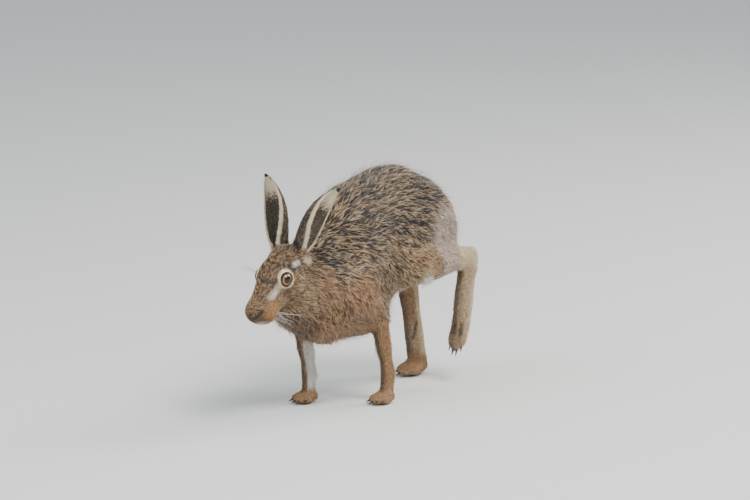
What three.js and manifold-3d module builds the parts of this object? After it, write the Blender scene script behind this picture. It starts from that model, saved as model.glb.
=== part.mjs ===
// A brown hare, life size, caught in a slow lope: both forefeet and the right hind foot are
// down, the left hind foot hangs behind. Millimetres, +Z up, the nose towards -Y, and +X is
// the animal's left. The floor is Z 0, and the origin is the middle of the box on the floor.
//
// The body is built from soft masses that flow into each other. A loft is wrapped round the
// masses of each region, the lofts are joined into one body, and thin cuts part it into the
// pieces that a person would name.
import * as THREE from "three";
import { LoftGeometry } from "three/addons/geometries/LoftGeometry.js";
import { mergeVertices } from "three/addons/utils/BufferGeometryUtils.js";
import Module from "manifold-3d";

const wasm = await Module();
wasm.setup();

// Driving dimensions
const GAP = 0.3; // clear space between two pieces that touch in life
const HEAD_PITCH = 34; // degrees, nose down
const HEAD_Y = -197.6; // the place between the eyes
const HEAD_Z = 185;
const EYE_RADIUS = 10;
const EYE_SPACING = 16.5; // from the middle of the head to an eyeball's centre
const MOUTH_TURN = 1.25; // how far the mouth runs back to each side, in radians
const LIP_GROOVE = 1.2;
const EAR_STEPS = 10;
const TOE_COUNT = 4;
const CLAW_RADIUS = 1.7;
const CLAW_LENGTH = 9;

const V = (x, y, z) => new THREE.Vector3(x, y, z);
const mix = (a, b, t) => a + (b - a) * t;
const UP = V(0, 0, 1);

// Solids and geometries

const solidOf = (geometry) => {
  const bare = new THREE.BufferGeometry();
  const source = geometry.index ? geometry.toNonIndexed() : geometry;
  bare.setAttribute("position", source.getAttribute("position").clone());
  const merged = mergeVertices(bare, 1e-4);
  const corners = merged.index.array;
  const kept = [];
  for (let i = 0; i < corners.length; i += 3) {
    const [a, b, c] = [corners[i], corners[i + 1], corners[i + 2]];
    if (a !== b && b !== c && a !== c) kept.push(a, b, c);
  }
  const solid = (turned) => new wasm.Manifold(new wasm.Mesh({
    numProp: 3,
    vertProperties: merged.attributes.position.array,
    triVerts: new Uint32Array(turned ? kept.toReversed() : kept),
  }));
  const made = solid(false);
  return made.volume() > 0 ? made : solid(true);
};

const geometryOf = (solid) => {
  const mesh = solid.getMesh();
  const positions = new Float32Array(mesh.numVert * 3);
  for (let i = 0; i < mesh.numVert; i++) {
    positions.set(mesh.vertProperties.subarray(i * mesh.numProp, i * mesh.numProp + 3), i * 3);
  }
  const geometry = new THREE.BufferGeometry();
  geometry.setAttribute("position", new THREE.BufferAttribute(positions, 3));
  geometry.setIndex(new THREE.BufferAttribute(mesh.triVerts, 1));
  geometry.computeVertexNormals();
  return geometry;
};

const union = (solids) => solids.reduce((all, one) => all.add(one));
const largest = (solid) => solid.decompose().sort((a, b) => b.volume() - a.volume())[0];

// Soft masses: each is a function of a point that is negative inside the flesh

// A cone with round ends, from a to b. narrow scales its width across X.
const cone = (a, b, radiusA, radiusB, narrow = 1) => {
  const mid = (a.x + b.x) / 2;
  const along = V((b.x - a.x) / narrow, b.y - a.y, b.z - a.z);
  const length2 = along.lengthSq();
  const slope = radiusA - radiusB;
  const rest2 = length2 - slope * slope;
  const foot = V(mid + (a.x - mid) / narrow, a.y, a.z);
  const from = V(0, 0, 0);
  const side = V(0, 0, 0);
  return (p) => {
    from.set(mid + (p.x - mid) / narrow, p.y, p.z).sub(foot);
    const y = from.dot(along);
    const z = y - length2;
    const x2 = side.copy(from).multiplyScalar(length2).addScaledVector(along, -y).lengthSq();
    const y2 = y * y * length2;
    const z2 = z * z * length2;
    const k = Math.sign(slope) * slope * slope * x2;
    if (Math.sign(z) * rest2 * z2 > k) return Math.sqrt(x2 + z2) / length2 - radiusB;
    if (Math.sign(y) * rest2 * y2 < k) return Math.sqrt(x2 + y2) / length2 - radiusA;
    return (Math.sqrt(x2 * rest2 / length2) + y * slope) / length2 - radiusA;
  };
};

const ball = (centre, radius) => (p) => p.distanceTo(centre) - radius;

// One field from several masses, whose joins are rounded over about the given width.
const blend = ([first, ...others], width) => (p) => others.reduce((sum, mass) => {
  const d = mass(p);
  const h = Math.max(width - Math.abs(sum - d), 0) / width;
  return Math.min(sum, d) - h * h * width / 4;
}, first(p));

// How far the surface of a field lies from a point inside it.
const reachTo = (field, from, direction, most = 400) => {
  const p = V(0, 0, 0);
  const value = (r) => field(p.copy(from).addScaledVector(direction, r));
  let inside = 0;
  let outside = 0;
  while (outside < most) {
    const d = value(outside);
    if (d >= 0) break;
    inside = outside;
    outside += Math.max(0.4, Math.min(-d * 0.7, 5));
  }
  for (let i = 0; i < 24; i++) {
    const middle = (inside + outside) / 2;
    if (value(middle) < 0) inside = middle;
    else outside = middle;
  }
  return inside;
};

// A loft of rings round a path, each ring cast out from the path onto the field.
const wrap = (path, field, rings, sides, facing = UP) => {
  const curve = new THREE.CatmullRomCurve3(path, false, "centripetal");
  const length = curve.getLength();
  const startTangent = curve.getTangentAt(0);
  const endTangent = curve.getTangentAt(1);
  const before = reachTo(field, path[0], startTangent.clone().negate());
  const after = reachTo(field, path.at(-1), endTangent);
  const total = before + length + after;
  const sections = [];
  for (let i = 0; i < rings; i++) {
    const even = (i + 0.2) / (rings - 0.6);
    const eased = (1 - Math.cos(Math.PI * even)) / 2;
    const s = total * mix(even, eased, 0.75) - before;
    const t = Math.min(Math.max(s / length, 0), 1);
    const centre = curve.getPointAt(t);
    const tangent = curve.getTangentAt(t);
    if (s < 0) centre.addScaledVector(startTangent, s);
    if (s > length) centre.addScaledVector(endTangent, s - length);
    const across = V(0, 0, 0).crossVectors(tangent, facing).normalize();
    const over = V(0, 0, 0).crossVectors(across, tangent);
    const ring = [];
    for (let j = 0; j < sides; j++) {
      const angle = (j / sides) * Math.PI * 2;
      const out = across.clone().multiplyScalar(Math.cos(angle))
        .addScaledVector(over, Math.sin(angle));
      ring.push(centre.clone().addScaledVector(out, reachTo(field, centre, out)));
    }
    sections.push(ring);
  }
  const first = path[0].clone().addScaledVector(startTangent, -before);
  const last = path.at(-1).clone().addScaledVector(endTangent, after);
  sections.unshift(Array(sides).fill(first));
  sections.push(Array(sides).fill(last));
  return solidOf(new LoftGeometry(sections));
};

// Cutting

const disc = (centre, normal, radius) => {
  const geometry = new THREE.CylinderGeometry(radius, radius, GAP, 24);
  const turn = new THREE.Quaternion().setFromUnitVectors(V(0, 1, 0), normal.clone().normalize());
  geometry.applyQuaternion(turn);
  geometry.translate(centre.x, centre.y, centre.z);
  return solidOf(geometry);
};

// Skeleton. The animal's left and right legs differ, because it is in mid stride.

const spine = [V(0, -80, 165), V(0, -35, 188), V(0, 15, 208), V(0, 60, 214), V(0, 98, 204),
  V(0, 120, 186)];

const forelegs = {
  left: { side: 1, blade: V(28, -20, 232), shoulder: V(40, -88, 146), elbow: V(44, -30, 120),
    wrist: V(46, -9, 40), paw: V(46, -13, 9), toe: V(46, -36, 5) },
  right: { side: -1, blade: V(-28, -34, 230), shoulder: V(-40, -112, 138),
    elbow: V(-46, -76, 112), wrist: V(-40, -66, 42), paw: V(-39, -66, 9),
    toe: V(-39, -89, 5) },
};
const hindlegs = {
  left: { side: 1, spread: 5.5, hip: V(31, 98, 207), knee: V(56, 26, 174), hock: V(52, 168, 167),
    ball: V(52, 150, 76), toe: V(51, 140, 50) },
  right: { side: -1, spread: 8, hip: V(-31, 98, 206), knee: V(-54, 14, 156), hock: V(-34, 150, 130),
    ball: V(-34, 176, 12), toe: V(-34, 143, 5.5) },
};

// Trunk

const trunkMasses = [
  cone(V(0, -78, 170), V(0, -16, 202), 68, 84, 0.64),
  cone(V(0, -16, 202), V(0, 48, 216), 84, 82, 0.64),
  cone(V(0, 48, 216), V(0, 98, 214), 82, 71, 0.68),
  cone(V(0, 98, 208), V(0, 128, 178), 64, 44, 0.8),
  cone(V(0, -96, 118), V(0, 2, 112), 34, 34),
];
for (const leg of Object.values(forelegs)) {
  trunkMasses.push(
    cone(leg.blade, leg.shoulder, 24, 26),
    cone(leg.shoulder, leg.elbow, 26, 19),
  );
}
for (const leg of Object.values(hindlegs)) {
  const kneecap = V(leg.knee.x - leg.side * 8, leg.knee.y + 8, leg.knee.z + 8);
  trunkMasses.push(cone(leg.hip, kneecap, 57, 36, 0.56));
}
const trunk = wrap(spine, blend(trunkMasses, 22), 26, 28);

// Neck

const neckPath = [V(0, -150, 162), V(0, -120, 160), V(0, -84, 164)];
const neckMasses = [
  cone(V(0, -152, 166), V(0, -86, 172), 39, 70, 0.74),
  cone(V(0, -142, 138), V(0, -96, 122), 34, 42),
];
const neck = wrap(neckPath, blend(neckMasses, 20), 9, 22);

// Head, in its own frame: +Y along the muzzle, +Z up, the eyes at Y 0 and Z 0

const headFrame = new THREE.Matrix4()
  .makeTranslation(0, HEAD_Y, HEAD_Z)
  .multiply(new THREE.Matrix4().makeRotationX(THREE.MathUtils.degToRad(HEAD_PITCH)))
  .multiply(new THREE.Matrix4().makeRotationZ(Math.PI));
// A place and a direction on the head. Its left is x above 0.
const inHead = (x, forward, up) => V(-x, forward, up).applyMatrix4(headFrame);
const headway = (x, forward, up) => V(-x, forward, up).transformDirection(headFrame);

const headMasses = [
  cone(inHead(0, -26, -3), inHead(0, -4, -1), 27, 23, 0.86),
  cone(inHead(0, -4, -1), inHead(0, 50, -10), 22, 12, 0.9),
  cone(inHead(0, 14, -14), inHead(0, 46, -17), 20.5, 15),
  cone(inHead(0, -20, -20), inHead(0, 43, -28), 19, 8),
  ball(inHead(0, 55.5, -8.5), 9),
];
for (const side of [-1, 1]) {
  headMasses.push(
    ball(inHead(side * 8.8, 44, -17.5), 13.2),
    ball(inHead(side * 12.5, -14, -18), 19.5),
    ball(inHead(side * 12, -1, 1), 11.5),
  );
}
const headPath = [inHead(0, -34, -6), inHead(0, -12, -7), inHead(0, 15, -11),
  inHead(0, 40, -15), inHead(0, 54, -14)];
const headField = blend(headMasses, 9);
const headBody = wrap(headPath, headField, 26, 26);

// Mouth, cleft lip and nostrils, cut into the muzzle where its surface lies

const muzzle = inHead(0, 36, -19);
const onMuzzle = (across, up) => {
  const toward = headway(Math.sin(across), Math.cos(across), up).normalize();
  return muzzle.clone().addScaledVector(toward, reachTo(headField, muzzle, toward));
};
const groove = (points, radius) => {
  const path = new THREE.CatmullRomCurve3(points);
  const section = new THREE.Shape();
  section.absarc(0, 0, radius, 0, Math.PI * 2);
  return solidOf(new THREE.ExtrudeGeometry(section, { steps: points.length * 2,
    curveSegments: 3, bevelEnabled: false, extrudePath: path }));
};
const mouthPoints = [];
for (let i = -4; i <= 4; i++) mouthPoints.push(onMuzzle(i * MOUTH_TURN / 4, -0.3));
const cleftPoints = [0, 1, 2, 3].map((i) => onMuzzle(0, mix(-0.32, 0.12, i / 3)));
const carvings = [groove(mouthPoints, LIP_GROOVE), groove(cleftPoints, LIP_GROOVE)];
for (const side of [-1, 1]) {
  const nostril = new THREE.SphereGeometry(1, 10, 6);
  nostril.scale(4.6, 3.2, 1.5);
  nostril.rotateY(side * THREE.MathUtils.degToRad(38));
  nostril.rotateZ(-side * THREE.MathUtils.degToRad(30));
  nostril.applyMatrix4(headFrame);
  const seat = inHead(side * 6, 61.5, -7.5).sub(inHead(0, 0, 0));
  nostril.translate(seat.x, seat.y, seat.z);
  carvings.push(solidOf(nostril));
}

// Eyes with their lids

const eyes = {};
const lids = [];
for (const [name, side] of [["left", 1], ["right", -1]]) {
  const centre = inHead(side * EYE_SPACING, 0, 1);
  const gaze = headway(side * 0.93, 0.3, 0.18);
  const eyeball = new THREE.SphereGeometry(EYE_RADIUS, 18, 11);
  eyeball.translate(centre.x, centre.y, centre.z);
  const socket = new THREE.SphereGeometry(EYE_RADIUS + GAP, 18, 11);
  socket.translate(centre.x, centre.y, centre.z);
  const lid = new THREE.TorusGeometry(8.9, 2, 6, 18);
  const turn = new THREE.Quaternion().setFromUnitVectors(V(0, 0, 1), gaze);
  lid.applyQuaternion(turn);
  const seat = centre.clone().addScaledVector(gaze, 6);
  lid.translate(seat.x, seat.y, seat.z);
  lids.push(solidOf(lid));
  eyes[name] = { centre, gaze, solid: solidOf(eyeball), socket: solidOf(socket) };
}

// Ears: a leaf rolled about its own axis, thick and closed at the root

const EAR_SHAPE = [
  // along, radius, wrap in degrees, wall
  [0, 10, 300, 7.5],
  [0.08, 11.5, 285, 4.5],
  [0.2, 15, 240, 2.8],
  [0.35, 18.5, 200, 2.4],
  [0.5, 20, 178, 2.2],
  [0.65, 19, 160, 2.1],
  [0.78, 15.5, 150, 2],
  [0.89, 10.5, 140, 1.9],
  [0.96, 6, 125, 1.8],
  [1, 2.6, 110, 1.6],
];
const earSolid = ({ root, tip, bend, opening }) => {
  const axis = new THREE.QuadraticBezierCurve3(root, root.clone().lerp(tip, 0.5).add(bend), tip);
  const section = ([t, radius, wrapped, wall], closing = false) => {
    const centre = axis.getPoint(t);
    const along = axis.getTangent(t);
    const front = opening.clone().addScaledVector(along, -opening.dot(along)).normalize();
    const side = V(0, 0, 0).crossVectors(along, front);
    const half = THREE.MathUtils.degToRad(wrapped) / 2;
    const place = (depth, step) => {
      const angle = mix(-half, half, step / EAR_STEPS);
      const edge = Math.abs(2 * step / EAR_STEPS - 1) ** 4;
      const r = radius - wall * mix(depth, mix(depth, 0.5, 0.5), edge);
      return centre.clone().addScaledVector(front, -r * Math.cos(angle))
        .addScaledVector(side, r * Math.sin(angle));
    };
    const outer = [];
    const inner = [];
    for (let step = 0; step <= EAR_STEPS; step++) {
      outer.push(place(closing ? 0.5 : 0, step));
      inner.unshift(place(closing ? 0.5 : 1, step));
    }
    return [...outer, ...inner];
  };
  return solidOf(new LoftGeometry([
    section(EAR_SHAPE[0], true),
    ...EAR_SHAPE.map((row) => section(row)),
    section(EAR_SHAPE.at(-1), true),
  ]));
};
const ears = {
  left: { root: inHead(13, -44, 4), tip: V(41, -108, 291), bend: V(4, -6, 4),
    opening: V(0.97, 0.25, 0) },
  right: { root: inHead(-13, -44, 4), tip: V(-46, -154, 309), bend: V(-5, 4, 0),
    opening: V(-0.35, -0.94, 0) },
};

// Legs

const limb = (points, radii, rings, sides, facing) => {
  const masses = [];
  for (let i = 1; i < points.length; i++) {
    masses.push(cone(points[i - 1], points[i], radii[i - 1], radii[i]));
  }
  return wrap(points, blend(masses, 8), rings, sides, facing);
};

// Each toe's claw: where it starts inside the toe's end and the way it points
const claws = {};
const toeSolids = (name, root, tip, spread, radius) => {
  const solids = [];
  claws[name] = [];
  for (let i = 0; i < TOE_COUNT; i++) {
    const place = i - (TOE_COUNT - 1) / 2;
    const inner = Math.abs(place) < 1;
    const end = tip.clone().lerp(root, inner ? 0 : 0.22);
    end.x += place * spread;
    const start = root.clone();
    start.x += place * spread * 0.72;
    solids.push(limb([start, end], [radius * 1.05, radius * 0.85], 5, 7, V(0, 0.6, 0.8)));
    const along = end.clone().sub(start).normalize();
    claws[name].push({ along, from: end.clone().addScaledVector(along, radius * 0.85 - 3) });
  }
  return solids;
};

const FORWARD = V(0, -1, 0.05);
const legSolids = [];
for (const [side, leg] of Object.entries(forelegs)) {
  const middle = leg.elbow.clone().lerp(leg.wrist, 0.5);
  legSolids.push(
    limb([leg.elbow, middle, leg.wrist, leg.paw], [16, 10.5, 8.5, 10], 10, 12, FORWARD),
    ...toeSolids(`forepaw_${side}`, leg.paw, leg.toe, 6.5, 6.8),
  );
}
for (const [side, leg] of Object.entries(hindlegs)) {
  const calf = leg.knee.clone().lerp(leg.hock, 0.4);
  const heel = leg.hock.clone().addScaledVector(V(0, 0.75, 0.65), 8);
  const foot = (t) => leg.hock.clone().lerp(leg.ball, t);
  legSolids.push(
    limb([leg.knee, calf, leg.hock], [28, 23, 14], 10, 14, UP),
    limb([heel, foot(0.12), foot(0.6), leg.ball], [9, 13.5, 12.5, 13.5], 11, 12, FORWARD),
    ...toeSolids(`hind_foot_${side}`, leg.ball, leg.toe, leg.spread, 7.6),
  );
}

// Tail

const tailPath = [V(0, 148, 202), V(0, 178, 200), V(0, 197, 180), V(0, 200, 148)];
const tailSolid = limb(tailPath, [13, 14, 14, 8], 10, 12, V(0, 1, 0));

// Whole body, then its cuts

const below = new THREE.BoxGeometry(1000, 1000, 200);
below.translate(0, 0, -100);
const floor = solidOf(below);

const pieces = {};
pieces.torso = largest(
  union([trunk, neck, headBody, ...lids, ...legSolids, tailSolid, earSolid(ears.left),
    earSolid(ears.right)])
    .subtract(union([floor, eyes.left.socket, eyes.right.socket, ...carvings])));
pieces.eye_left = eyes.left.solid;
pieces.eye_right = eyes.right.solid;

// Takes a new piece off a piece, beyond a round cut.
const take = (name, from, centre, normal, radius) => {
  const toward = normal.clone().normalize();
  const parts = pieces[from].subtract(disc(centre, toward, radius)).decompose()
    .filter((one) => one.volume() > 20)
    .sort((a, b) => b.volume() - a.volume())
    .slice(0, 2);
  if (parts.length < 2) throw new Error(`the cut for ${name} parts nothing`);
  const reach = (solid) => {
    const { min, max } = solid.boundingBox();
    return V((min[0] + max[0]) / 2, (min[1] + max[1]) / 2, (min[2] + max[2]) / 2).dot(toward);
  };
  const [kept, taken] = reach(parts[0]) < reach(parts[1]) ? parts : [parts[1], parts[0]];
  pieces[from] = kept;
  pieces[name] = taken;
};

for (const [side, ear] of Object.entries(ears)) {
  const along = ear.tip.clone().sub(ear.root).normalize();
  take(`ear_${side}`, "torso", ear.root.clone().addScaledVector(along, 8), along, 17);
}
take("head", "torso", V(0, -152, 176), V(0, -0.95, -0.3), 92);
take("neck", "torso", V(0, -114, 176), V(0, -0.95, 0.3), 108);
take("tail", "torso", V(0, 180, 198), V(0, 0.95, -0.3), 21);

for (const [side, leg] of Object.entries(hindlegs)) {
  const out = leg.side;
  take(`thigh_${side}`, "torso", V(out * 40, 70, 205), V(out * 0.88, 0.36, -0.3), 135);
  take(`shank_${side}`, `thigh_${side}`, leg.knee.clone().lerp(leg.hock, 0.5).add(V(0, 0, 24)),
    V(0, 0.1, -1), 130);
  take(`hind_foot_${side}`, `shank_${side}`, leg.hock.clone().lerp(leg.ball, 0.22),
    leg.ball.clone().sub(leg.hock), 24);
}
for (const [side, leg] of Object.entries(forelegs)) {
  const out = leg.side;
  take(`upper_arm_${side}`, "torso", leg.shoulder.clone().lerp(leg.elbow, 0.4)
    .add(V(-out * 8, 0, 6)), V(out * 0.93, -0.2, -0.3), 95);
  take(`forearm_${side}`, `upper_arm_${side}`, leg.elbow.clone().lerp(leg.wrist, 0.3),
    leg.wrist.clone().sub(leg.elbow), 80);
  take(`forepaw_${side}`, `forearm_${side}`, leg.wrist.clone().lerp(leg.paw, 0.2),
    V(0, 0, -1), 22);
}

// Claws, each in a socket of its own

const spike = ({ from, along }, radius, length, back) => {
  const geometry = new THREE.CylinderGeometry(radius * 0.25, radius, length, 8);
  geometry.translate(0, length / 2 - back, 0);
  geometry.applyQuaternion(new THREE.Quaternion().setFromUnitVectors(V(0, 1, 0), along));
  geometry.translate(from.x, from.y, from.z);
  return solidOf(geometry);
};
for (const [foot, list] of Object.entries(claws)) {
  const socket = new THREE.CylinderGeometry(1, 1, 1, 8);
  list.forEach((claw, i) => {
    const hole = socket.clone().scale(CLAW_RADIUS + GAP, 8, CLAW_RADIUS + GAP);
    hole.translate(0, 4 - GAP, 0);
    hole.applyQuaternion(new THREE.Quaternion().setFromUnitVectors(V(0, 1, 0), claw.along));
    hole.translate(claw.from.x, claw.from.y, claw.from.z);
    pieces[foot] = largest(pieces[foot].subtract(solidOf(hole)));
    pieces[`claw_${foot}_${i + 1}`] = spike(claw, CLAW_RADIUS, CLAW_LENGTH, 0);
  });
}

// Scene

const COAT = { color: 0x8a6b48, roughness: 0.9, metalness: 0 };
const LOOKS = {
  torso: { color: 0x86694a, roughness: 0.9, metalness: 0 },
  neck: { color: 0x98714a, roughness: 0.9, metalness: 0 },
  head: { color: 0x80654a, roughness: 0.9, metalness: 0 },
  ear: { color: 0x5b4c3c, roughness: 0.9, metalness: 0 },
  eye: { color: 0xc07a20, roughness: 0.1, metalness: 0 },
  tail: { color: 0x2b2622, roughness: 0.9, metalness: 0 },
  claw: { color: 0x2a2420, roughness: 0.5, metalness: 0 },
};

const group = new THREE.Group();
for (const [name, solid] of Object.entries(pieces)) {
  const look = LOOKS[name.split("_")[0]] ?? COAT;
  const mesh = new THREE.Mesh(geometryOf(solid), new THREE.MeshStandardMaterial(look));
  mesh.name = name;
  group.add(mesh);
}

// The origin is the middle of the box on the floor.
const bounds = new THREE.Box3().setFromObject(group);
const middle = bounds.getCenter(V(0, 0, 0));
group.position.set(-middle.x, -middle.y, -bounds.min.z);

export default group;
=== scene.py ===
import math

import bpy
import numpy as np
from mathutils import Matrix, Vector
from mathutils.bvhtree import BVHTree
from mathutils.kdtree import KDTree


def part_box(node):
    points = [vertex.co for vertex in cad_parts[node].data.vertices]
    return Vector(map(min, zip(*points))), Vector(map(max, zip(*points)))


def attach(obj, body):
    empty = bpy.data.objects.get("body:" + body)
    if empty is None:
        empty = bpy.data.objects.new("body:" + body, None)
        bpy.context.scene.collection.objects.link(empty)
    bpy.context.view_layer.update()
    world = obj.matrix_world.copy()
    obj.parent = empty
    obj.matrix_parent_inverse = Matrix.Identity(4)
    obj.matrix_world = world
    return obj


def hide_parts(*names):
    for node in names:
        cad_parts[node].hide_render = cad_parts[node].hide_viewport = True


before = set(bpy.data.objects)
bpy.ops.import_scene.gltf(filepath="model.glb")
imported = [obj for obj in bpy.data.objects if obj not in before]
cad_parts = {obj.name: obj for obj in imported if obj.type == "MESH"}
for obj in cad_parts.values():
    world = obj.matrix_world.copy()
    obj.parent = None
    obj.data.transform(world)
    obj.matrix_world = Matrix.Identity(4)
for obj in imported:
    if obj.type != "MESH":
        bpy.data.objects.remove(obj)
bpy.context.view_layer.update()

rng = np.random.default_rng(11)
MM = 0.001
# most triangles in a piece of hair, the floor's gap in millimetres, and half a hair's side in the map
MOST_TRIANGLES = 190000
FLOOR_CLEAR = 0.3
PATCH = 0.0015

# The hare's own frame in millimetres: the nose towards -Y, its left at +X. The left eye places it.
HEAD_PITCH = math.radians(34)
EYE_MM = np.array([16.5, -198.16, 185.83])
low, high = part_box("eye_left")
SHIFT = (np.array(low) + np.array(high)) / 2 / MM - EYE_MM
FORWARD = np.array([0, -math.cos(HEAD_PITCH), -math.sin(HEAD_PITCH)])
UPWARD = np.array([0, -math.sin(HEAD_PITCH), math.cos(HEAD_PITCH)])
HEAD_AT = np.array([0, -197.6, 185.0])
EYES = {"left": np.array([16.5, 0, 1.0]), "right": np.array([-16.5, 0, 1.0])}
EAR_FEET = {"left": (13, -44, 4), "right": (-13, -44, 4)}
FLESH = [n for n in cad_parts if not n.startswith(("eye_", "ear_", "claw_"))]


def to_frame(mm):
    return (np.asarray(mm, float) + SHIFT) * MM


def to_mm(points):
    return np.asarray(points, float) / MM - SHIFT


def in_head(p):
    """Millimetre points as (side, forward, up) of the head."""
    r = p - HEAD_AT
    return np.stack([r[..., 0], r @ FORWARD, r @ UPWARD], -1)


def from_head(side, forward, up):
    return HEAD_AT + np.array([side, 0, 0]) + forward * FORWARD + up * UPWARD


def unit(v):
    return v / np.maximum(np.linalg.norm(v, axis=-1, keepdims=True), 1e-9)


def linear(colour):
    """A colour as it is on a screen, turned into linear light."""
    c = np.asarray(colour, float)
    return np.where(c <= 0.04045, c / 12.92, ((c + 0.055) / 1.055) ** 2.4)


def near(p, centre, radius, soft=0.5):
    """1 at the middle of a soft round patch and 0 outside it."""
    d = np.linalg.norm((p - np.asarray(centre, float)) / np.asarray(radius, float), axis=-1)
    return np.clip((1 - d) / soft, 0, 1)


def ripple(p, scale, seed):
    """Smooth noise from -1 to 1."""
    r = np.random.default_rng(seed)
    total = np.zeros(len(p))
    for _ in range(7):
        k = r.normal(size=3)
        k = k / np.linalg.norm(k) * r.uniform(0.7, 1.4) * 2 * math.pi / scale
        total += np.sin(p @ k + r.uniform(0, 7) + 0.8 * np.sin(p @ (k[[1, 2, 0]] * 0.7)))
    return np.clip(total / 3.2, -1, 1)


# The coat. Each guide gives, at one place on the body, the way the hair lies, its length and
# the coat's kind; between guides they flow into each other.
# kind: skin colour, root, band and tip of a hair, and how much the locks differ
KINDS = {
    "back": ((0.10, 0.08, 0.07), (0.12, 0.10, 0.09), (0.88, 0.74, 0.56), (0.05, 0.045, 0.045), 1.15),
    "flank": ((0.30, 0.24, 0.19), (0.28, 0.23, 0.18), (0.86, 0.73, 0.57), (0.15, 0.12, 0.09), 0.95),
    "rufous": ((0.42, 0.31, 0.22), (0.38, 0.28, 0.20), (0.83, 0.66, 0.48), (0.42, 0.30, 0.20), 0.7),
    "grey": ((0.62, 0.56, 0.50), (0.58, 0.51, 0.45), (0.90, 0.83, 0.76), (0.60, 0.52, 0.46), 0.5),
    "thigh": ((0.46, 0.35, 0.24), (0.42, 0.32, 0.22), (0.82, 0.65, 0.44), (0.34, 0.25, 0.17), 0.7),
    "leg": ((0.60, 0.46, 0.32), (0.58, 0.44, 0.30), (0.82, 0.65, 0.46), (0.52, 0.38, 0.26), 0.6),
    "hind": ((0.68, 0.57, 0.44), (0.66, 0.56, 0.43), (0.88, 0.78, 0.63), (0.62, 0.51, 0.38), 0.5),
    "white": ((0.86, 0.83, 0.78), (0.84, 0.81, 0.76), (0.96, 0.94, 0.91), (0.92, 0.90, 0.86), 0.15),
    "face": ((0.30, 0.22, 0.15), (0.26, 0.20, 0.14), (0.76, 0.59, 0.40), (0.07, 0.055, 0.045), 1.1),
    "cheek": ((0.48, 0.38, 0.27), (0.42, 0.33, 0.23), (0.80, 0.67, 0.50), (0.26, 0.20, 0.15), 0.8),
    "dusk": ((0.30, 0.22, 0.16), (0.25, 0.19, 0.14), (0.62, 0.47, 0.33), (0.24, 0.17, 0.12), 0.7),
    "black": ((0.12, 0.10, 0.09), (0.12, 0.10, 0.09), (0.16, 0.13, 0.11), (0.07, 0.06, 0.05), 0.2),
}
KIND_NAMES = list(KINDS)
BACK = KIND_NAMES.index("back")
WHITE = KIND_NAMES.index("white")
FACE = KIND_NAMES.index("face")
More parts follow.
